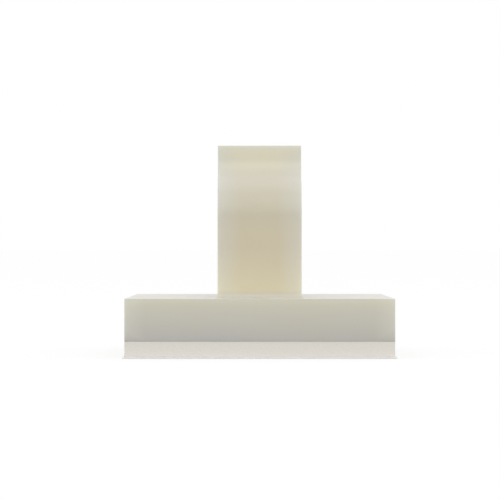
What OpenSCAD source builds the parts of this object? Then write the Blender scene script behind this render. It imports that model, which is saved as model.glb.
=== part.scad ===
// Adhesive wire saddle: a square stick-on base that carries an open loop for a bundle of wires.
// The wires run along X. The origin is the centre of the release liner's underside, with Z up.

/* [Base plate] */
// Length of the base along the wires
base_x = 19; // [10:0.5:30]
// Length of the base across the wires
base_y = 19; // [15:0.5:30]
// Thickness of the base
base_h = 3; // [1.5:0.1:6]
// Radius of the base's upright corners
base_corner_r = 0.1; // [0.1:0.05:3]

/* [Loop] */
// Width of the moulded strip that forms the loop, along the wires
strip_w = 6; // [3:0.5:9]
// Thickness of the strip
wall = 1.2; // [0.8:0.1:1.6]
// Outer width of the loop across its two legs
loop_w = 13; // [12:0.5:16]
// Height of the loop's roof above the base
loop_h = 9.4; // [7:0.1:14]
// Outer radius of each shoulder, where a leg turns into the roof
shoulder_r = 3.5; // [2.5:0.1:4.2]
// Radius of the fillet round the foot of each leg
foot_r = 0.3; // [0.1:0.05:0.6]

/* [Entry] */
// Width of the slit between the two lips
entry_gap = 1; // [0.4:0.1:1.8]
// Outer radius of the lips that curl down into the loop
lip_r = 2.2; // [1.8:0.1:2.8]
// Angle through which each lip curls down
lip_angle = 45; // [20:5:60]
// How far the round bead at a lip's end stands proud of the strip on each face
tip_bead = 0.05; // [0.05:0.05:0.3]
// Height of the ears above the roof
ear_h = 1.55; // [0.9:0.05:3]
// Thickness of an ear at its top
ear_t = 0.8; // [0.5:0.1:1.2]
// Thickness of an ear where it meets the roof
ear_root_t = 1.8; // [1.3:0.1:2.4]
// Distance from a leg's outer face to the outer face of its ear
ear_inset = 1.8; // [1:0.1:2.6]
// Radius of the blend between a shoulder and its ear
ear_blend_r = 2; // [0.5:0.1:2.4]
// Radius on the outer top edge of an ear
ear_edge_r = 0.15; // [0.05:0.05:0.2]

/* [Adhesive pad] */
// Thickness of the foam pad
foam_t = 1.1; // [0.5:0.1:2]
// Thickness of the release liner
liner_t = 0.1; // [0.05:0.05:0.4]
// How far the release liner stands out past the foam on each side
liner_over = 0.15; // [0:0.05:1]

/* [Hidden] */
$fn = 96;

nylon = [0.86, 0.84, 0.76];
foam_white = [0.93, 0.92, 0.88];
liner_white = [0.97, 0.96, 0.94];

// Levels of the stacked layers, from the surface that the part rests on
foam_z = liner_t;
base_z = foam_z + foam_t;
loop_z = base_z + base_h;

// Radii that a cutting wedge reaches from its centre
wedge_reach = 4;
// Thousandths in a millimetre, the step that derived lengths are rounded to
um_per_mm = 1000;
// Finer steps in a millimetre that the blend's height is rounded down to
blend_steps = 10000;

// Shoulder arc, drawn for the leg on the +Y side, with heights from the base's top
leg_out = loop_w / 2;
leg_in = leg_out - wall;
shoulder_y = leg_out - shoulder_r;
leg_top = loop_h - shoulder_r;
shoulder_centre = [shoulder_y, leg_top];

// Lip arc, set out from the slit
tip_r = wall / 2 + tip_bead;
lip_mid_r = lip_r - wall / 2;
tip_y = entry_gap / 2 + tip_r;
lip_y = whole_um(tip_y + lip_mid_r * sin(lip_angle));
lip_z = loop_h - lip_r;
tip_z = whole_um(lip_z + lip_mid_r * cos(lip_angle));

// Ear and the blend circle that touches the shoulder and the ear's outer face. Its height is rounded
// down, so that it always reaches the shoulder
ear_out = leg_out - ear_inset;
ear_top = loop_h + ear_h;
blend_angle = acos((ear_out + ear_blend_r - shoulder_y) / (shoulder_r + ear_blend_r));
blend_y = ear_out + ear_blend_r;
blend_rise = (shoulder_r + ear_blend_r) * sin(blend_angle);
blend_z = floor((leg_top + blend_rise) * blend_steps) / blend_steps;

// Where an ear and its blend grow out of the middle of the strip, the ear straight under its outer face
strip_mid_r = shoulder_r - wall / 2;
ear_foot = [ear_out, leg_top + sqrt(pow(strip_mid_r, 2) - pow(ear_out - shoulder_y, 2))];
blend_foot = on_circle(shoulder_centre, strip_mid_r, blend_angle);

// Point on a circle
function on_circle(centre, r, a) = centre + r * [cos(a), sin(a)];

// Length rounded to a thousandth, so that outlines drawn from it meet exactly
function whole_um(length) = round(length * um_per_mm) / um_per_mm;

// Flat outline of the layers, a rectangle with rounded corners
module plate_outline(x, y, r) {
    square([x - 2 * r, y], center = true);
    square([x, y - 2 * r], center = true);
    for (sx = [-1, 1], sy = [-1, 1])
        translate([sx * (x / 2 - r), sy * (y / 2 - r)])
            circle(r);
}

// Piece of a curved band between two angles that are less than 120 degrees apart
module arc_band(r_out, r_in, from, to) {
    mid = (from + to) / 2;
    reach = wedge_reach * r_out;
    intersection() {
        difference() {
            circle(r_out);
            circle(r_in);
        }
        polygon([[0, 0], on_circle([0, 0], reach, from), on_circle([0, 0], reach, mid),
                 on_circle([0, 0], reach, to)]);
    }
}

// Outline of half a loop, without its ear: leg, shoulder, roof, and the lip that curls down
module arm_outline() {
    translate([leg_in, foot_r])
        square([wall, leg_top - foot_r]);
    translate(shoulder_centre)
        arc_band(shoulder_r, shoulder_r - wall, 0, 90);
    translate([lip_y, loop_h - wall])
        square([shoulder_y - lip_y, wall]);
    translate([lip_y, lip_z])
        arc_band(lip_r, lip_r - wall, 90, 90 + lip_angle);
    translate([tip_y, tip_z])
        circle(tip_r);
}

// Outline of an ear, upright outside and sloped inside to guide the wires to the slit
module ear_outline() {
    difference() {
        polygon([ear_foot, [ear_out, ear_top], [ear_out - ear_t, ear_top],
                 [ear_out - ear_root_t, loop_h],
                 [ear_out - ear_root_t, loop_h - wall / 2]]);
        translate([ear_out, ear_top])
            rotate(180)
                corner_waste(ear_edge_r);
    }
}

// Material between a square corner and the arc that rounds it
module corner_waste(r) {
    difference() {
        translate([-r, -r])
            square(2 * r);
        translate([r, r])
            circle(r);
    }
}

// Hollow blend between a shoulder and the outer face of its ear
module blend_outline() {
    difference() {
        polygon([[blend_y, blend_z], blend_foot, ear_foot, [ear_out, blend_z]]);
        translate([blend_y, blend_z])
            circle(ear_blend_r);
    }
}

// Outline of a leg's foot of width w, with a hollow fillet on each side
module foot_outline(w) {
    difference() {
        translate([-w / 2 - foot_r, 0])
            square([w + 2 * foot_r, foot_r]);
        for (side = [-1, 1])
            translate([side * (w / 2 + foot_r), foot_r])
                circle(foot_r);
    }
}

// Foot of a leg, with the fillet on all four sides
module foot() {
    intersection() {
        rotate([90, 0, 90])
            linear_extrude(strip_w + 2 * foot_r, center = true)
                foot_outline(wall);
        rotate([90, 0, 0])
            linear_extrude(wall + 2 * foot_r, center = true)
                foot_outline(strip_w);
    }
}

// One side of the loop, on the +Y side, standing on the base's top
module arm() {
    rotate([90, 0, 90])
        linear_extrude(strip_w, center = true) {
            arm_outline();
            ear_outline();
            blend_outline();
        }
    translate([0, leg_in + wall / 2, 0])
        foot();
}

// Nylon moulding: the base and the open loop in one piece
module saddle() {
    color(nylon) {
        translate([0, 0, base_z])
            linear_extrude(base_h)
                plate_outline(base_x, base_y, base_corner_r);
        translate([0, 0, loop_z])
            for (side = [0, 1])
                mirror([0, side, 0])
                    arm();
    }
}

// Foam pad with adhesive on both faces, cut to the outline of the base
module foam_pad() {
    color(foam_white)
        translate([0, 0, foam_z])
            linear_extrude(foam_t)
                plate_outline(base_x, base_y, base_corner_r);
}

// Release liner over the lower adhesive face
module release_liner() {
    color(liner_white)
        linear_extrude(liner_t)
            plate_outline(base_x + 2 * liner_over, base_y + 2 * liner_over,
                          base_corner_r + liner_over);
}

saddle();
foam_pad();
release_liner();
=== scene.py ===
"""Adhesive wire saddle: nylon moulding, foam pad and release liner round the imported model, with a stage."""

import math

import bmesh
import bpy
from bpy.props import FloatProperty, FloatVectorProperty, PointerProperty
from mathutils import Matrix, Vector, noise


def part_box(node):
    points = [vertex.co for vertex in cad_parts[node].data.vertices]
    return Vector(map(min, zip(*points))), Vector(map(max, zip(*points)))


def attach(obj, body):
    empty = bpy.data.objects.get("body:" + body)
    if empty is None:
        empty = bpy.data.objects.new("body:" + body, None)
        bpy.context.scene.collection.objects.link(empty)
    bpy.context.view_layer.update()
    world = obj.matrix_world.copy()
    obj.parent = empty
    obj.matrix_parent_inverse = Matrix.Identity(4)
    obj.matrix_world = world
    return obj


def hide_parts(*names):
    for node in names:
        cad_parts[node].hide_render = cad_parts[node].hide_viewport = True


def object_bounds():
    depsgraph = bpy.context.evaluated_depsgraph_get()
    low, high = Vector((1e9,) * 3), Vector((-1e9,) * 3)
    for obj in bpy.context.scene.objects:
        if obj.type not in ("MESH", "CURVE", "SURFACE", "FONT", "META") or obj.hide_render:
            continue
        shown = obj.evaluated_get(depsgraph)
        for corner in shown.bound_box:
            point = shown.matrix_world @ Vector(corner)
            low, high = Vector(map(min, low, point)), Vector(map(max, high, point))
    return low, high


bl_info = {
    "name": "Adhesive wire saddle",
    "version": (1, 0, 0),
    "blender": (4, 5, 0),
    "location": "3D View > Sidebar > Wire Saddle",
    "description": "Builds the looks of a stick-on wire saddle and its stage",
    "category": "Object",
}

MM = 0.001

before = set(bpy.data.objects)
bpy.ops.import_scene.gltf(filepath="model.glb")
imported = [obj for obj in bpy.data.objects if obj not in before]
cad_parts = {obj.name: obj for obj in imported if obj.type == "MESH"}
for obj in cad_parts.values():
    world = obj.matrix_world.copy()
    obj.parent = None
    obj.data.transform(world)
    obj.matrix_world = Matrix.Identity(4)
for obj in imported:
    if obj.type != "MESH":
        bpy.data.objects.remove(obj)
CAD_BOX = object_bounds()
SADDLE_LOW, SADDLE_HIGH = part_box("saddle")
FOAM_LOW, FOAM_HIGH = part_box("foam_pad")
LINER_LOW, LINER_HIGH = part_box("release_liner")

# Steps along curves and straight faces
SHOULDER_STEPS = 28
BLEND_STEPS = 10
CORNER_STEPS = 6
LIP_STEPS = 16
TIP_STEPS = 20
EDGE_STEPS = 4
FOOT_STEPS = 8
STRAIGHT_STEPS = 8

# Width of the flat rim that keeps a face's shading flat next to a rounded edge
RIM = 0.02 * MM

# Opened cells on the foam's cut sides: a pit's radius and the width of its wall, in cells, and how
# quickly pits change in depth from cell to cell
PIT_RADIUS = 0.55
PIT_WALL = 0.4
PIT_CHANGE = 0.31

# Slow unevenness of the foam's cut: how quickly it changes, and its depth as a share of a pit's
CUT_CHANGE = 0.12
CUT_SHARE = 0.3

# Distance over which the liner's cut edge wanders, and the length of its mesh steps in foam steps
LINER_WANDER = 1.7 * MM
LINER_STEPS = 4

# Heights above the base's top between which the nylon's colour, with its painted light and shade, changes
BRIM_BAND = (-0.17 * MM, -0.04 * MM)
LEDGE_BAND = (-0.02 * MM, 0 * MM)
FOOT_BAND = (0 * MM, 0.6 * MM)
LEG_BAND = (0.6 * MM, 3.6 * MM)
BEND_BAND = (4.6 * MM, 6.6 * MM)
SHOULDER_BAND = (6.7 * MM, 8.6 * MM)
EAR_BAND = (8.5 * MM, 9.6 * MM)

# How far below its top the base is clear of painted shade, and the height of the painted glow at the ears'
# tops
PLATE_FULL = 0.2 * MM
EAR_TIP = 0.5 * MM

# Widths of the painted glow where light passes the loop's long edges and the base's upright corners
STRIP_GLOW = 1.7 * MM
CORNER_GLOW = 1.5 * MM

# How much of each painted shade, light and glow shows on the nylon; the drift is a random tone
BRIM_TINT = 0.5
LEG_TINT = 0.85
DRIFT_TINT = 0.15
EDGE_TINT = 0.55
CORNER_TINT = 0.35

# Height at the foam's top over which its sides are darker with a painted contact shadow under the base
FOAM_CONTACT_SHADOW = 0.2 * MM

# Darkest shade in the mottle of the plain finishes, as a share of their colours
ADHESIVE_DARK = 0.8
LINER_DARK = 0.95
FLOOR_DARK = 0.98

# Floor: half its side, and how much of its own shade and of a white glow the camera sees
FLOOR_REACH = 60.0
FLOOR_SHADE = 0.45
FLOOR_GLOW = 0.765

# Light of the stage: its colour, where the softboxes hang and the length of their sides
WHITE = (1, 1, 1)
OVERHEAD_PLACE = (0, -0.02, 0.4)
OVERHEAD_SIDE = 0.35
FRONT_PLACE = (0.06, -0.45, 0.25)
FRONT_SIDE = 0.3

# Camera: width of its sensor in mm, and the nearest and farthest distances that it sees
SENSOR_WIDTH = 36
NEAREST = 1 * MM
FARTHEST = 200


class SaddleSizes(bpy.types.PropertyGroup):
    """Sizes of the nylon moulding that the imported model's box doesn't give"""

    base_height: FloatProperty(
        name="Base height",
        description="Thickness of the base plate",
        default=3 * MM,
        unit="LENGTH",
        precision=5,
    )
    base_corner: FloatProperty(
        name="Base corner radius",
        description="Radius of the base's upright corners",
        default=0.06 * MM,
        unit="LENGTH",
        precision=5,
    )
    base_edge: FloatProperty(
        name="Base edge radius",
        description="Radius that softens the base's top edge",
        default=0.01 * MM,
        unit="LENGTH",
        precision=5,
    )
    base_foot: FloatProperty(
        name="Base lower edge radius",
        description="Radius that softens the base's bottom edge",
        default=0.01 * MM,
        unit="LENGTH",
        precision=5,
    )
    base_draft: FloatProperty(
        name="Base draft",
        description="How far the base's sides lean in from bottom to top",
        default=0.005 * MM,
        unit="LENGTH",
        precision=5,
    )
    strip_width: FloatProperty(
        name="Strip width",
        description="Width of the loop's strip along the wires",
        default=6 * MM,
        unit="LENGTH",
        precision=5,
    )
    wall: FloatProperty(
        name="Strip thickness",
        description="Thickness of the loop's strip",
        default=1.2 * MM,
        unit="LENGTH",
        precision=5,
    )
    loop_width: FloatProperty(
        name="Loop width",
        description="Outer width of the loop across its legs",
        default=13 * MM,
        unit="LENGTH",
        precision=5,
    )
    loop_height: FloatProperty(
        name="Loop height",
        description="Height of the loop's roof above the base",
        default=9.4 * MM,
        unit="LENGTH",
        precision=5,
    )
    shoulder: FloatProperty(
        name="Shoulder radius",
        description="Outer radius between a leg and the roof",
        default=3.5 * MM,
        unit="LENGTH",
        precision=5,
    )
    foot: FloatProperty(
        name="Foot fillet",
        description="Radius of the fillet round a leg's foot",
        default=0.3 * MM,
        unit="LENGTH",
        precision=5,
    )
    edge: FloatProperty(
        name="Strip edge radius",
        description="Radius that softens the strip's long edges",
        default=0.02 * MM,
        unit="LENGTH",
        precision=5,
    )
    entry_gap: FloatProperty(
        name="Slit width",
        description="Width of the slit between the lips",
        default=1 * MM,
        unit="LENGTH",
        precision=5,
    )
    lip: FloatProperty(
        name="Lip radius",
        description="Outer radius of the curled lips",
        default=2.2 * MM,
        unit="LENGTH",
        precision=5,
    )
    lip_angle: FloatProperty(
        name="Lip angle",
        description="Angle through which a lip curls down",
        default=math.radians(45),
        subtype="ANGLE",
    )
    tip_bead: FloatProperty(
        name="Lip bead",
        description="How far the bead at a lip's end stands proud",
        default=0.05 * MM,
        unit="LENGTH",
        precision=5,
    )
    ear_inset: FloatProperty(
        name="Ear inset",
        description="From a leg's outer face to its ear's",
        default=1.8 * MM,
        unit="LENGTH",
        precision=5,
    )
    ear_top: FloatProperty(
        name="Ear thickness",
        description="Thickness of an ear at its top",
        default=0.8 * MM,
        unit="LENGTH",
        precision=5,
    )
    ear_root: FloatProperty(
        name="Ear root",
        description="Thickness of an ear at the roof",
        default=1.8 * MM,
        unit="LENGTH",
        precision=5,
    )
    ear_blend: FloatProperty(
        name="Ear blend",
        description="Radius between a shoulder and its ear",
        default=2 * MM,
        unit="LENGTH",
        precision=5,
    )
    ear_edge: FloatProperty(
        name="Ear edge radius",
        description="Radius on an ear's top edges",
        default=0.05 * MM,
        unit="LENGTH",
        precision=5,
    )
    ear_fillet: FloatProperty(
        name="Ear fillet",
        description="Radius between an ear's slope and the roof",
        default=0.3 * MM,
        unit="LENGTH",
        precision=5,
    )


class PadSizes(bpy.types.PropertyGroup):
    """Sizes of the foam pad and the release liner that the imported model's box doesn't give"""

    corner: FloatProperty(
        name="Foam corner radius",
        description="Radius of the foam's upright corners",
        default=0.1 * MM,
        unit="LENGTH",
        precision=5,
    )
    edge: FloatProperty(
        name="Foam edge",
        description="How far the foam's top and bottom edges are set in",
        default=0.01 * MM,
        unit="LENGTH",
        precision=5,
    )
    cell: FloatProperty(
        name="Foam cell",
        description="Size of the foam's cells",
        default=0.16 * MM,
        unit="LENGTH",
        precision=5,
    )
    pit: FloatProperty(
        name="Foam pit depth",
        description="Depth of the cells that the cut has opened",
        default=0.02 * MM,
        unit="LENGTH",
        precision=5,
    )
    step: FloatProperty(
        name="Foam mesh step",
        description="Distance between the points round the foam",
        default=0.08 * MM,
        unit="LENGTH",
        precision=5,
    )
    liner_corner: FloatProperty(
        name="Liner corner radius",
        description="Radius of the liner's corners",
        default=0.25 * MM,
        unit="LENGTH",
        precision=5,
    )
    liner_edge: FloatProperty(
        name="Liner edge radius",
        description="Radius that softens the liner's edges",
        default=0.02 * MM,
        unit="LENGTH",
        precision=5,
    )
    liner_wave: FloatProperty(
        name="Liner wave",
        description="How far the die-cut edge wanders",
        default=0.02 * MM,
        unit="LENGTH",
        precision=5,
    )


class SaddleColours(bpy.types.PropertyGroup):
    """Colours of the materials and of the stage, with the painted light and shade of the nylon and the foam
    """

    nylon: FloatVectorProperty(
        name="Nylon",
        description="Natural nylon, as the base's sides show it",
        default=(0.67, 0.65, 0.54),
        subtype="COLOR",
        min=0,
        max=1,
    )
    # Painted shade: the base darkens towards the foam and in a thin band under its top edge
    nylon_painted_shade: FloatVectorProperty(
        name="Nylon, lower",
        description="The nylon next to the foam",
        default=(0.52, 0.505, 0.475),
        subtype="COLOR",
        min=0,
        max=1,
    )
    # Painted reflection: the base's top is tinted cooler for its grazing reflection of the white surroundings
    nylon_ledge_reflection: FloatVectorProperty(
        name="Nylon, base's top",
        description="The flat top of the base",
        default=(0.65, 0.632, 0.565),
        subtype="COLOR",
        min=0,
        max=1,
    )
    # Painted light: the feet are lighter for the light that the base's top throws onto them
    nylon_foot_bounce: FloatVectorProperty(
        name="Nylon, feet",
        description="The nylon at the loop's feet",
        default=(0.74, 0.67, 0.47),
        subtype="COLOR",
        min=0,
        max=1,
    )
    # Painted shade: the legs are darker and more yellow where the roof shades them
    nylon_leg_shade: FloatVectorProperty(
        name="Nylon, legs",
        description="The nylon of the loop's legs, which is warmer",
        default=(0.648, 0.578, 0.425),
        subtype="COLOR",
        min=0,
        max=1,
    )
    # Painted shade: darker where a leg starts to bend into its shoulder
    nylon_bend_shade: FloatVectorProperty(
        name="Nylon, bends",
        description="The nylon where a leg starts to bend",
        default=(0.61, 0.565, 0.43),
        subtype="COLOR",
        min=0,
        max=1,
    )
    # Painted sheen: the shoulders are lighter and greyer where they face the overhead light
    nylon_shoulder_sheen: FloatVectorProperty(
        name="Nylon, shoulders",
        description="The nylon at the loop's shoulders",
        default=(0.645, 0.61, 0.51),
        subtype="COLOR",
        min=0,
        max=1,
    )
    # Painted light: the thin ears are lighter for the light that passes through them
    nylon_ear_glow: FloatVectorProperty(
        name="Nylon, ears",
        description="The nylon of the thin ears",
        default=(0.75, 0.71, 0.55),
        subtype="COLOR",
        min=0,
        max=1,
    )
    # Painted glow where light passes the loop's edges above the feet and the ears' tops
    nylon_edge_glow: FloatVectorProperty(
        name="Nylon, edges",
        description="The nylon where light passes the loop's edges",
        default=(0.672, 0.68, 0.635),
        subtype="COLOR",
        min=0,
        max=1,
    )
    # Painted glow at the base's upright corners and at the strip's edges near the feet
    nylon_rim_glow: FloatVectorProperty(
        name="Nylon, lower edges",
        description="The nylon at the edges of the base and feet",
        default=(0.77, 0.77, 0.68),
        subtype="COLOR",
        min=0,
        max=1,
    )
    foam: FloatVectorProperty(
        name="Foam",
        description="Foam tape",
        default=(0.865, 0.83, 0.775),
        subtype="COLOR",
        min=0,
        max=1,
    )
    # Painted shade in the foam's opened cells, towards its top and under the base
    foam_shade: FloatVectorProperty(
        name="Foam pits",
        description="Opened cells in the foam, and the shade under the base",
        default=(0.76, 0.74, 0.67),
        subtype="COLOR",
        min=0,
        max=1,
    )
    # The adhesive film is real; its dark colour is also painted shade that darkens the base's lower part
    # through the nylon
    adhesive_and_shade: FloatVectorProperty(
        name="Adhesive",
        description="Adhesive film",
        default=(0.25, 0.22, 0.16),
        subtype="COLOR",
        min=0,
        max=1,
    )
    liner: FloatVectorProperty(
        name="Liner",
        description="Release liner",
        default=(0.92, 0.885, 0.875),
        subtype="COLOR",
        min=0,
        max=1,
    )
    floor: FloatVectorProperty(
        name="Floor",
        description="Floor of the stage, where light reaches it",
        default=(0.5, 0.5, 0.5),
        subtype="COLOR",
        min=0,
        max=1,
    )


class StageSizes(bpy.types.PropertyGroup):
    """Camera and light of the stage"""

    camera_place: FloatVectorProperty(
        name="Camera place",
        description="Where the camera stands; it looks level along +Y",
        default=(-0.687 * MM, -179.5 * MM, 7.621 * MM),
        subtype="TRANSLATION",
        precision=5,
    )
    camera_lens: FloatProperty(
        name="Lens",
        description="Focal length of the camera, in mm",
        default=174.67,
        min=10,
        unit="CAMERA",
    )
    world_light: FloatProperty(
        name="Sky",
        description="Strength of the even light from all round",
        default=1.0,
        min=0,
    )
    top_light: FloatProperty(
        name="Overhead",
        description="Radiance of the overhead softbox",
        default=0.15,
        min=0,
    )
    front_light: FloatProperty(
        name="Front",
        description="Radiance of the front softbox",
        default=1.0,
        min=0,
    )


def ray(angle):
    """Direction at an angle in degrees"""
    return Vector((math.cos(math.radians(angle)), math.sin(math.radians(angle))))


def arc(centre, radius, start, end, steps, hollow=False):
    """Points on an arc, each with the direction out of the material; angles in degrees"""
    side = -1 if hollow else 1
    found = []
    for k in range(steps + 1):
        out = ray(start + (end - start) * k / steps)
        found.append((Vector(centre) + radius * out, side * out))
    return found


def corner(point, radius, start, end, hollow=False):
    """Arc that rounds the corner at point between two faces that look along the angles start and end"""
    side = 1 if hollow else -1
    first, last = ray(start), ray(end)
    centre = Vector(point) + side * radius * (first + last) / (1 + first.dot(last))
    turn = 180 if hollow else 0
    return arc(centre, radius, start + turn, end + turn, CORNER_STEPS, hollow)


def straight(start, end, out, steps):
    """Points between two ends of a straight face that looks along out, without the ends"""
    start, end = Vector(start), Vector(end)
    return [(start.lerp(end, k / steps), Vector(out)) for k in range(1, steps)]


def smooth(share):
    """Soft step from 0 to 1"""
    share = max(0.0, min(1.0, share))
    return share * share * (3 - 2 * share)


def lip_face(centre, radius, start, end, bead, hollow=False):
    """Face of a lip that swells by bead towards the tip; start and end in degrees, the tip at the larger"""
    side = -1 if hollow else 1
    middle = (start + end) / 2
    tip = max(start, end)
    found = []
    for place, out in arc(centre, radius, start, end, LIP_STEPS, hollow):
        angle = math.degrees(math.atan2(side * out.y, side * out.x))
        found.append((place + out * bead * smooth((angle - middle) / (tip - middle)), out))
    return found


def arm_outline(size):
    """Outline of the +Y arm from the outer foot over to the inner foot, as (y, z) above the base's top"""
    leg_out = size.loop_width / 2
    leg_in = leg_out - size.wall
    leg_top = size.loop_height - size.shoulder
    ear_y = leg_out - size.ear_inset
    ear_z = SADDLE_HIGH.z - FOAM_HIGH.z - size.base_height

    # Centres of the shoulder, and of the blend that touches it and the ear's outer face
    shoulder = (leg_out - size.shoulder, leg_top)
    reach = size.shoulder + size.ear_blend
    blend_angle = math.degrees(math.acos((ear_y + size.ear_blend - shoulder[0]) / reach))
    blend = (ear_y + size.ear_blend, leg_top + reach * math.sin(math.radians(blend_angle)))

    # Ear's slope, and the direction that it looks along
    slope = Vector((size.ear_top - size.ear_root, size.loop_height - ear_z))
    slope_angle = math.degrees(math.atan2(-slope.x, slope.y)) % 360

    # Centres of the lip and of the bead at its tip, set out from the slit
    tip_radius = size.wall / 2 + size.tip_bead
    tip_angle = 90 + math.degrees(size.lip_angle)
    tip_y = size.entry_gap / 2 + tip_radius
    lip_middle = size.lip - size.wall / 2
    lip = (tip_y + lip_middle * math.sin(size.lip_angle), size.loop_height - size.lip)
    tip = (tip_y, lip[1] + lip_middle * math.cos(size.lip_angle))

    points = [(Vector((leg_out, size.foot)), Vector((1, 0)))]
    points += straight((leg_out, size.foot), (leg_out, leg_top), (1, 0), STRAIGHT_STEPS)
    points += arc(shoulder, size.shoulder, 0, blend_angle, SHOULDER_STEPS)
    points += arc(blend, size.ear_blend, 180 + blend_angle, 180, BLEND_STEPS, hollow=True)[1:]
    points += corner((ear_y, ear_z), size.ear_edge, 0, 90)
    points += corner((ear_y - size.ear_top, ear_z), size.ear_edge, 90, slope_angle)
    root = (ear_y - size.ear_root, size.loop_height)
    points += corner(root, size.ear_fillet, slope_angle, 90, hollow=True)
    points += lip_face(lip, size.lip, 90, tip_angle, size.tip_bead)
    points += arc(tip, tip_radius, tip_angle, tip_angle + 180, TIP_STEPS)[1:-1]
    points += lip_face(lip, size.lip - size.wall, tip_angle, 90, size.tip_bead, hollow=True)
    points += arc(shoulder, size.shoulder - size.wall, 90, 0, SHOULDER_STEPS, hollow=True)
    points += straight((leg_in, leg_top), (leg_in, size.foot), (-1, 0), STRAIGHT_STEPS)
    points.append((Vector((leg_in, size.foot)), Vector((-1, 0))))
    return points


def quarter(steps):
    """Angles of a quarter turn, in radians"""
    return [math.pi / 2 * k / steps for k in range(steps + 1)]


def skin(mesh, first, second, closed=True):
    """Faces between two rows of points"""
    count = len(first)
    for k in range(count if closed else count - 1):
        after = (k + 1) % count
        mesh.faces.new((first[k], first[after], second[after], second[k]))


def cap(mesh, ring):
    """Flat faces over a ring of points that may turn inwards"""
    face = mesh.faces.new(ring)
    face.normal_update()
    bmesh.ops.triangulate(mesh, faces=[face], ngon_method="EAR_CLIP")


def fan(mesh, ring):
    """Flat faces from a ring that only turns outwards to its middle. Returns the faces"""
    middle = mesh.verts.new(sum((vert.co for vert in ring), Vector()) / len(ring))
    return [mesh.faces.new((vert, ring[(k + 1) % len(ring)], middle)) for k, vert in enumerate(ring)]


def strip_section(size):
    """Steps across the strip with its rounded edges, from -X to +X.
    Each is its place, its inset from the outline, and the turn of the surface in radians."""
    half = size.strip_width / 2
    found = []
    for turn in quarter(EDGE_STEPS):
        x = half - size.edge + size.edge * math.sin(turn)
        found.append((x, size.edge * (1 - math.cos(turn)), turn))
    found.append((half, size.edge + RIM, math.pi / 2))
    return [(-x, inset, -turn) for x, inset, turn in reversed(found)] + found


def add_arm(mesh, size, side):
    """One arm of the loop with its foot. Returns the ring where the foot's fillet meets the base"""
    base_top = FOAM_HIGH.z + size.base_height
    outline = arm_outline(size)
    section = strip_section(size)
    rows = []
    for x, inset, _ in section:
        row = []
        for place, out in outline:
            spot = place - out * inset
            row.append(mesh.verts.new((x, side * spot.x, base_top + spot.y)))
        rows.append(row)
    for first, second in zip(rows, rows[1:]):
        skin(mesh, first, second, closed=False)
    cap(mesh, rows[0])
    cap(mesh, rows[-1])

    # Points round the leg's lower end, along its outer face and back along its inner one
    turns = [turn for _, _, turn in section]
    ring = []
    for row, turn in zip(rows, turns):
        ring.append((row[0], Vector((math.sin(turn), side * math.cos(turn), 0))))
    for row, turn in zip(reversed(rows), reversed(turns)):
        ring.append((row[-1], Vector((math.sin(turn), -side * math.cos(turn), 0))))

    # Fillet from the leg down to the base's top
    levels = []
    for turn in quarter(FOOT_STEPS)[1:]:
        levels.append((size.foot * (1 - math.cos(turn)), size.foot * (1 - math.sin(turn))))
    levels.append((size.foot + RIM, 0))
    last = [vert for vert, _ in ring]
    for spread, height in levels:
        row = []
        for vert, out in ring:
            spot = vert.co + out * spread
            row.append(mesh.verts.new((spot.x, spot.y, base_top + height)))
        skin(mesh, last, row)
        last = row
    return last


def plate_ring(low, high, radius, along=None):
    """Points round a box with rounded corners, each with its outward direction.
    Its straight sides get points about a distance of along apart, or none between the corners."""
    centres = (
        (high.x - radius, high.y - radius),
        (low.x + radius, high.y - radius),
        (low.x + radius, low.y + radius),
        (high.x - radius, low.y + radius),
    )
    corners = [arc(centre, radius, 90 * k, 90 * (k + 1), CORNER_STEPS) for k, centre in enumerate(centres)]
    found = []
    for turned, following in zip(corners, corners[1:] + corners[:1]):
        found += turned
        if along:
            start, out = turned[-1]
            end = following[0][0]
            found += straight(start, end, out, max(2, round((end - start).length / along)))
    return found


def plate(mesh, ring, levels, waver=None):
    """Skin round a ring at (height, inset) levels. Returns the rows of points.
    What waver(place, level number) gives is how far a point moves in."""
    rows = []
    for number, (height, inset) in enumerate(levels):
        row = []
        for place, out in ring:
            spot = place - out * inset
            point = Vector((spot.x, spot.y, height))
            if waver:
                point -= Vector((out.x, out.y, 0)) * waver(point, number)
            row.append(mesh.verts.new(point))
        rows.append(row)
    for first, second in zip(rows, rows[1:]):
        skin(mesh, first, second)
    return rows


def edge_levels(height, radius, up, draft=0.0):
    """Levels that round a plate's edge at a height; up is 1 for a top edge and -1 for a bottom one"""
    found = []
    for turn in quarter(EDGE_STEPS):
        found.append((height - up * radius * (1 - math.sin(turn)), draft + radius * (1 - math.cos(turn))))
    found.append((height, draft + radius + RIM))
    return found if up > 0 else found[::-1]


def rim_edges(ring):
    """Edges between neighbouring points of a ring"""
    found = []
    for k, vert in enumerate(ring):
        other = ring[(k + 1) % len(ring)]
        found.append(next(edge for edge in vert.link_edges if edge.other_vert(vert) is other))
    return found


def whole_noise(spot):
    """Smooth noise from 0 to 1"""
    return 0.5 + 0.5 * noise.noise(spot)


def new_object(name, data):
    """Object with the given data, linked to the scene"""
    made = bpy.data.objects.new(name, data)
    bpy.context.scene.collection.objects.link(made)
    return made


def finished_object(mesh, name, material, node):
    """Turns a bmesh into a piece that rides on the frame and stands for a CAD node"""
    bmesh.ops.recalc_face_normals(mesh, faces=mesh.faces)
    data = bpy.data.meshes.new(name)
    mesh.to_mesh(data)
    mesh.free()
    data.shade_smooth()
    data.materials.append(material)
    piece = new_object(name, data)
    piece.modifiers.new("Flat faces stay flat", "WEIGHTED_NORMAL")
    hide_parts(node)
    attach(piece, "root")
    return piece


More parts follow.
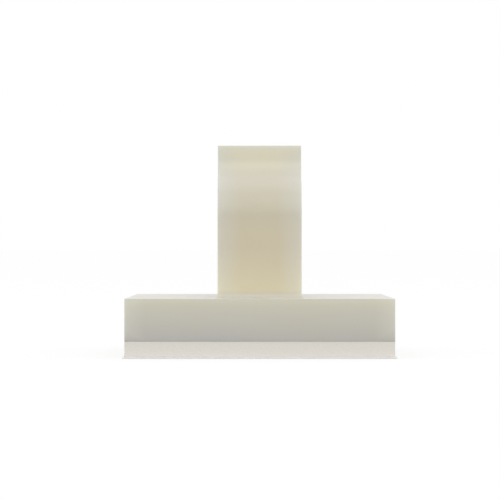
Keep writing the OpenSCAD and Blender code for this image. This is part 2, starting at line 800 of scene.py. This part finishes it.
class NodeBench:
    """Short calls for wiring the nodes of a material or of the world"""

    def __init__(self, owner, output):
        owner.use_nodes = True
        self.owner = owner
        self.nodes = owner.node_tree.nodes
        self.links = owner.node_tree.links
        self.nodes.clear()
        self.out = self.nodes.new(output)

    def feed(self, socket, value):
        """Links a socket to another node's output, or sets its value; a colour is set as opaque"""
        if isinstance(value, bpy.types.NodeSocket):
            self.links.new(value, socket)
        elif socket.type == "RGBA":
            socket.default_value = (*value, 1)
        else:
            socket.default_value = value

    def add(self, kind, inputs=None, **settings):
        """A node with its settings and its inputs, where an input is a value or another node's output"""
        node = self.nodes.new(kind)
        for key, value in settings.items():
            setattr(node, key, value)
        for key, value in (inputs or {}).items():
            self.feed(node.inputs[key], value)
        return node

    def close(self, shader):
        """Wires a shader node to the output. Returns the material or world"""
        self.links.new(shader.outputs[0], self.out.inputs["Surface"])
        return self.owner

    def place(self):
        """The object's own coordinates"""
        return self.add("ShaderNodeTexCoord").outputs["Object"]

    def part_of_place(self, axis):
        """One of the object's own coordinates, in metres"""
        return self.add("ShaderNodeSeparateXYZ", {"Vector": self.place()}).outputs[axis]

    def combine(self, operation, first, second=0.0):
        """Result of a maths operation on one or two values"""
        return self.add("ShaderNodeMath", {0: first, 1: second}, operation=operation).outputs[0]

    def spread(self, value, low, high, start, end):
        """Maps low to high on start to end"""
        inputs = {"Value": value, "From Min": low, "From Max": high, "To Min": start, "To Max": end}
        return self.add("ShaderNodeMapRange", inputs).outputs["Result"]

    def rise(self, low, high, end=1.0):
        """Rises from 0 to end between two heights"""
        return self.spread(self.part_of_place("Z"), low, high, 0.0, end)

    def near_edge(self, axis, edge, width, end):
        """Rises from 0 to end over a width next to the edges that stand at a distance from the middle"""
        aside = self.combine("ABSOLUTE", self.part_of_place(axis))
        return self.spread(aside, edge - width, edge, 0.0, end)

    def grain(self, scale, detail, roughness=0.5):
        """Noise in the object's own coordinates; scale is in cycles per metre"""
        inputs = {"Vector": self.place(), "Scale": scale, "Detail": detail, "Roughness": roughness}
        return self.add("ShaderNodeTexNoise", inputs).outputs["Fac"]

    def mottle(self, scale, detail, start=0.0, end=1.0, low=0.3, high=0.7):
        """Noise that runs from start to end where the plain noise runs from low to high"""
        return self.spread(self.grain(scale, detail), low, high, start, end)

    def cells(self, scale):
        """Distance from the middle of a cell in the object's own coordinates; scale is in cells per metre"""
        return self.add("ShaderNodeTexVoronoi", {"Vector": self.place(), "Scale": scale}).outputs["Distance"]

    def mix(self, share, first, second):
        """Mixes two colours; a share of 1 is all second"""
        node = self.add("ShaderNodeMix", {"Factor": share}, data_type="RGBA")
        sockets = [socket for socket in node.inputs if socket.type == "RGBA"]
        for socket, value in zip(sockets, (first, second)):
            self.feed(socket, value)
        return next(socket for socket in node.outputs if socket.type == "RGBA")

    def bump(self, height, distance, strength, under=None):
        """Bump of a height that stands up to distance metres, over another bump"""
        inputs = {"Height": height, "Distance": distance, "Strength": strength}
        if under:
            inputs["Normal"] = under
        return self.add("ShaderNodeBump", inputs).outputs["Normal"]

    def principled(self, **inputs):
        """Principled shader with the given sockets, wired to the output. Returns the material"""
        named = {key.replace("_", " "): value for key, value in inputs.items()}
        return self.close(self.add("ShaderNodeBsdfPrincipled", named))

    def seen(self):
        """1 where the camera looks, also by way of gloss and glass, and 0 where light does"""
        path = self.add("ShaderNodeLightPath").outputs
        gloss = self.combine("MAXIMUM", path["Is Camera Ray"], path["Is Glossy Ray"])
        return self.combine("MAXIMUM", gloss, path["Is Transmission Ray"])


def new_finish(name):
    """Bench of a new material"""
    return NodeBench(bpy.data.materials.new(name), "ShaderNodeOutputMaterial")


def nylon_material(size, colours):
    """Natural nylon: cream, slightly translucent, satin, with a fine moulded grain; painted light, shade and
    edge glow
    """
    nylon = new_finish("natural nylon")
    base_top = FOAM_HIGH.z + size.base_height

    def above(band, end=1.0):
        """Rises from 0 to end over a band of heights above the base's top"""
        return nylon.rise(base_top + band[0], base_top + band[1], end)

    # Painted shade: the base darkens from its full colour down towards the foam
    plate_unshaded_share = nylon.rise(FOAM_HIGH.z, base_top - PLATE_FULL)
    # Painted bounce light at the feet; the strip's painted edge glow fades in with it
    foot_bounce_share = above(FOOT_BAND)
    drift = nylon.mottle(scale=260, detail=3.0, end=DRIFT_TINT, low=0.35, high=0.65)
    tints = (
        # Painted shade in a thin band under the base's top edge, which dims that edge's highlight
        (above(BRIM_BAND, BRIM_TINT), colours.nylon_painted_shade),
        # Painted reflection on the base's top
        (above(LEDGE_BAND), colours.nylon_ledge_reflection),
        # Painted bounce light at the feet
        (foot_bounce_share, colours.nylon_foot_bounce),
        # Painted shade on the legs, with a random drift
        (nylon.combine("ADD", above(LEG_BAND, LEG_TINT), drift), colours.nylon_leg_shade),
        # Painted shade where the legs bend
        (above(BEND_BAND), colours.nylon_bend_shade),
        # Painted sheen on the shoulders
        (above(SHOULDER_BAND), colours.nylon_shoulder_sheen),
        # Painted light through the thin ears
        (above(EAR_BAND), colours.nylon_ear_glow),
    )
    colour = nylon.mix(plate_unshaded_share, colours.nylon_painted_shade, colours.nylon)
    for share, tint in tints:
        colour = nylon.mix(share, colour, tint)

    # Painted glow where light passes the strip's long edges
    strip_edge_glow = nylon.near_edge("X", size.strip_width / 2, STRIP_GLOW, EDGE_TINT)
    strip_edge_glow = nylon.combine("MULTIPLY", strip_edge_glow, foot_bounce_share)
    # Painted glow at the base's upright corners, which fades out with the painted shade towards the foam
    end_x = nylon.near_edge("X", SADDLE_HIGH.x, CORNER_GLOW, CORNER_TINT)
    end_y = nylon.near_edge("Y", SADDLE_HIGH.y, CORNER_GLOW, CORNER_TINT)
    base_corner = nylon.combine("MINIMUM", nylon.combine("MINIMUM", end_x, end_y), plate_unshaded_share)
    # Painted glow in the ears' thin tops
    ear_tip_glow = nylon.rise(SADDLE_HIGH.z - EAR_TIP, SADDLE_HIGH.z, EDGE_TINT)
    painted_glow_share = nylon.combine("MAXIMUM", nylon.combine("MAXIMUM", strip_edge_glow, base_corner), ear_tip_glow)
    # Painted glow: the rim's colour low down, the edges' colour from the legs up
    colour = nylon.mix(painted_glow_share, colour, nylon.mix(above(LEG_BAND), colours.nylon_rim_glow, colours.nylon_edge_glow))

    fine = nylon.bump(nylon.grain(scale=16000, detail=3.0, roughness=0.6), distance=0.004 * MM, strength=0.5)
    waves = nylon.bump(nylon.grain(scale=420, detail=1.0), distance=0.03 * MM, strength=0.2, under=fine)
    return nylon.principled(
        Base_Color=colour,
        Roughness=nylon.mottle(scale=1400, detail=3.0, start=0.28, end=0.34),
        Normal=waves,
        IOR=1.53,
        Subsurface_Weight=0.35,
        Subsurface_Radius=(1.0, 0.95, 0.75),
        Subsurface_Scale=0.8 * MM,
    )


def foam_material(colours):
    """Closed-cell foam tape: matt, off-white, fine opened cells on its cut edges, painted shade in them and
    under the base
    """
    foam = new_finish("foam tape")
    cell = foam.cells(scale=9000)
    patches = foam.mottle(scale=900, detail=2.0, start=0.75, low=0.35, high=0.65)
    # Painted shade in the opened cells
    pits = foam.combine("MULTIPLY", foam.spread(cell, low=0.15, high=0.55, start=0.3, end=0.0), patches)
    # Painted shade that deepens up the foam's sides towards the base
    shade = foam.combine("ADD", pits, foam.rise(FOAM_LOW.z, FOAM_HIGH.z, end=0.5))
    # Painted contact shadow at the foam's top, under the base
    shade = foam.combine("ADD", shade, foam.rise(FOAM_HIGH.z - FOAM_CONTACT_SHADOW, FOAM_HIGH.z, end=0.6))
    walls = foam.bump(cell, distance=0.02 * MM, strength=0.4)
    fine = foam.bump(foam.grain(scale=30000, detail=2.0), distance=0.006 * MM, strength=0.5, under=walls)
    return foam.principled(
        Base_Color=foam.mix(shade, colours.foam, colours.foam_shade),
        Roughness=foam.spread(cell, low=0.1, high=0.6, start=0.9, end=0.75),
        Normal=fine,
        Subsurface_Weight=0.3,
        Subsurface_Radius=(1.0, 0.95, 0.85),
        Subsurface_Scale=0.06 * MM,
    )


def adhesive_shade_material(colours):
    """Adhesive film on the foam's two faces: dull amber, with a little mottle; its dark colour is also
    painted shade
    """
    film = new_finish("adhesive film")
    mottle = film.mottle(scale=1800, detail=3.0)
    return film.principled(
        Base_Color=film.mix(mottle, colours.adhesive_and_shade, colours.adhesive_and_shade * ADHESIVE_DARK),
        Roughness=film.spread(mottle, low=0.0, high=1.0, start=0.3, end=0.45),
    )


def liner_material(colours):
    """Release liner: white coated sheet with a faint mottle"""
    liner = new_finish("release liner")
    mottle = liner.mottle(scale=2600, detail=4.0)
    return liner.principled(
        Base_Color=liner.mix(mottle, colours.liner, colours.liner * LINER_DARK),
        Roughness=liner.spread(mottle, low=0.0, high=1.0, start=0.38, end=0.5),
        Normal=liner.bump(liner.grain(scale=9000, detail=3.0), distance=0.004 * MM, strength=0.4),
        Subsurface_Weight=0.3,
        Subsurface_Radius=(1.0, 0.95, 0.9),
        Subsurface_Scale=0.1 * MM,
    )


def floor_material(colours):
    """Pale floor that the camera sees as white and that keeps the part's shadow"""
    floor = new_finish("floor")
    colour = floor.mix(floor.mottle(scale=300, detail=3.0), colours.floor, colours.floor * FLOOR_DARK)
    matt = floor.add("ShaderNodeBsdfDiffuse", {"Color": colour})
    dimmed = floor.add("ShaderNodeBsdfDiffuse", {"Color": colours.floor * FLOOR_SHADE})
    glow = floor.add("ShaderNodeEmission", {"Color": WHITE, "Strength": FLOOR_GLOW})
    white = floor.add("ShaderNodeAddShader", {0: dimmed.outputs[0], 1: glow.outputs[0]})
    inputs = {0: floor.seen(), 1: matt.outputs[0], 2: white.outputs[0]}
    return floor.close(floor.add("ShaderNodeMixShader", inputs))


def studio_world(strength):
    """Even white light from all round, which the camera sees as plain white"""
    world = NodeBench(bpy.data.worlds.new("studio"), "ShaderNodeOutputWorld")
    light = world.add("ShaderNodeBackground", {"Color": WHITE, "Strength": strength})
    white = world.add("ShaderNodeBackground", {"Color": WHITE})
    inputs = {0: world.seen(), 1: light.outputs[0], 2: white.outputs[0]}
    return world.close(world.add("ShaderNodeMixShader", inputs))


def studio_floor(colours):
    """Floor that the part rests on"""
    data = bpy.data.meshes.new("floor")
    corners = [(x * FLOOR_REACH, y * FLOOR_REACH, 0) for x, y in ((-1, -1), (1, -1), (1, 1), (-1, 1))]
    data.from_pydata(corners, [], [(0, 1, 2, 3)])
    data.materials.append(floor_material(colours))
    floor = new_object("floor", data)


def softbox(name, place, side, radiance):
    """Square area light that looks at the part and has the given radiance"""
    lamp = bpy.data.lights.new(name, "AREA")
    lamp.shape = "SQUARE"
    lamp.size = side
    lamp.energy = radiance * math.pi * side * side
    holder = new_object(name, lamp)
    holder.location = place
    aim = Vector((0, 0, CAD_BOX[1].z / 2)) - Vector(place)
    holder.rotation_euler = aim.to_track_quat("-Z", "Y").to_euler()


def studio_camera(stage):
    """Level camera where the photograph was taken from"""
    eye = bpy.data.cameras.new("camera")
    eye.lens = stage.camera_lens
    eye.sensor_width = SENSOR_WIDTH
    eye.clip_start = NEAREST
    eye.clip_end = FARTHEST
    camera = new_object("camera", eye)
    camera.location = stage.camera_place
    camera.rotation_euler = (math.pi / 2, 0, 0)
    return camera


class WIRESADDLE_OT_moulding(bpy.types.Operator):
    """Builds the nylon moulding: the base and the open loop in one piece"""

    bl_idname = "wiresaddle.moulding"
    bl_label = "Nylon moulding"

    def execute(self, context):
        size = context.scene.saddle_sizes
        mesh = bmesh.new()
        feet = [add_arm(mesh, size, side) for side in (1, -1)]
        ring = plate_ring(SADDLE_LOW, SADDLE_HIGH, size.base_corner)
        levels = edge_levels(FOAM_HIGH.z, size.base_foot, -1)
        levels += edge_levels(FOAM_HIGH.z + size.base_height, size.base_edge, 1, size.base_draft)
        rows = plate(mesh, ring, levels)
        fan(mesh, rows[0])
        borders = [edge for loop in (rows[-1], *feet) for edge in rim_edges(loop)]
        made = bmesh.ops.triangle_fill(mesh, use_beauty=True, edges=borders, normal=(0, 0, 1))
        if not any(isinstance(part, bmesh.types.BMFace) for part in made["geom"]):
            raise RuntimeError("the base's top couldn't be filled")
        material = nylon_material(size, context.scene.saddle_colours)
        finished_object(mesh, "saddle_moulding", material, "saddle")
        return {"FINISHED"}


class WIRESADDLE_OT_foam(bpy.types.Operator):
    """Builds the foam pad, with opened cells on its cut sides"""

    bl_idname = "wiresaddle.foam"
    bl_label = "Foam pad"

    def execute(self, context):
        size = context.scene.pad_sizes
        colours = context.scene.saddle_colours
        low, high = FOAM_LOW.z, FOAM_HIGH.z
        count = round((high - low) / size.step)
        sides = [(low + (high - low) * k / count, 0.0) for k in range(1, count)]
        levels = [(low, size.edge), *sides, (high, size.edge)]

        def pitted(point, number):
            """Depth of the cut surface below the pad's outline"""
            if number in (0, len(levels) - 1):
                return 0.0
            spot = point / size.cell
            nearest = noise.voronoi(spot)[0][0]
            pit = smooth((PIT_RADIUS - nearest) / PIT_WALL) * whole_noise(spot * PIT_CHANGE)
            return size.pit * (pit + CUT_SHARE * whole_noise(spot * CUT_CHANGE))

        mesh = bmesh.new()
        rows = plate(mesh, plate_ring(FOAM_LOW, FOAM_HIGH, size.corner, size.step), levels, pitted)
        # The adhesive film, whose dark colour is also painted shade, goes on the foam's top and bottom
        for face in (*fan(mesh, rows[0]), *fan(mesh, rows[-1])):
            face.material_index = 1
        pad = finished_object(mesh, "foam_tape", foam_material(colours), "foam_pad")
        pad.data.materials.append(adhesive_shade_material(colours))
        return {"FINISHED"}


class WIRESADDLE_OT_liner(bpy.types.Operator):
    """Builds the release liner with its die-cut edge"""

    bl_idname = "wiresaddle.liner"
    bl_label = "Release liner"

    def execute(self, context):
        size = context.scene.pad_sizes
        ring = plate_ring(LINER_LOW, LINER_HIGH, size.liner_corner, size.step * LINER_STEPS)
        levels = edge_levels(LINER_LOW.z, size.liner_edge, -1)
        levels += edge_levels(LINER_HIGH.z, size.liner_edge, 1)

        def wander(point, number):
            """How far the cut wanders inwards, the same at all levels"""
            return size.liner_wave * whole_noise(Vector((point.x, point.y, 0)) / LINER_WANDER)

        mesh = bmesh.new()
        rows = plate(mesh, ring, levels, wander)
        fan(mesh, rows[0])
        fan(mesh, rows[-1])
        material = liner_material(context.scene.saddle_colours)
        finished_object(mesh, "liner_sheet", material, "release_liner")
        return {"FINISHED"}


class WIRESADDLE_OT_stage(bpy.types.Operator):
    """Builds the floor, the studio light and the camera"""

    bl_idname = "wiresaddle.stage"
    bl_label = "Stage"

    def execute(self, context):
        scene = context.scene
        stage = scene.stage_sizes
        studio_floor(scene.saddle_colours)
        scene.world = studio_world(stage.world_light)
        softbox("overhead softbox", OVERHEAD_PLACE, OVERHEAD_SIDE, stage.top_light)
        softbox("front softbox", FRONT_PLACE, FRONT_SIDE, stage.front_light)
        scene.camera = studio_camera(stage)
        scene.view_settings.view_transform = "Standard"
        return {"FINISHED"}


class WIRESADDLE_PT_sidebar(bpy.types.Panel):
    """Sidebar panel with the saddle's sizes, colours and build steps"""

    bl_idname = "WIRESADDLE_PT_sidebar"
    bl_label = "Wire Saddle"
    bl_space_type = "VIEW_3D"
    bl_region_type = "UI"
    bl_category = "Wire Saddle"

    def draw(self, context):
        for group in GROUPS:
            owner = getattr(context.scene, group)
            box = self.layout.box()
            for name in owner.bl_rna.properties.keys():
                if name not in ("name", "rna_type"):
                    box.prop(owner, name)
        for operator in OPERATORS:
            self.layout.operator(operator.bl_idname)


GROUPS = {
    "saddle_sizes": SaddleSizes,
    "pad_sizes": PadSizes,
    "saddle_colours": SaddleColours,
    "stage_sizes": StageSizes,
}
OPERATORS = (WIRESADDLE_OT_moulding, WIRESADDLE_OT_foam, WIRESADDLE_OT_liner, WIRESADDLE_OT_stage)


def register():
    """Registers the groups, operators and panel"""
    for name, group in GROUPS.items():
        bpy.utils.register_class(group)
        setattr(bpy.types.Scene, name, PointerProperty(type=group))
    for cls in (*OPERATORS, WIRESADDLE_PT_sidebar):
        bpy.utils.register_class(cls)


def unregister():
    """Removes what register added"""
    for cls in (WIRESADDLE_PT_sidebar, *reversed(OPERATORS)):
        bpy.utils.unregister_class(cls)
    for name, group in GROUPS.items():
        delattr(bpy.types.Scene, name)
        bpy.utils.unregister_class(group)


def main():
    """Builds everything"""
    register()
    bpy.ops.wiresaddle.moulding()
    bpy.ops.wiresaddle.foam()
    bpy.ops.wiresaddle.liner()
    bpy.ops.wiresaddle.stage()


if __name__ == "__main__":
    main()
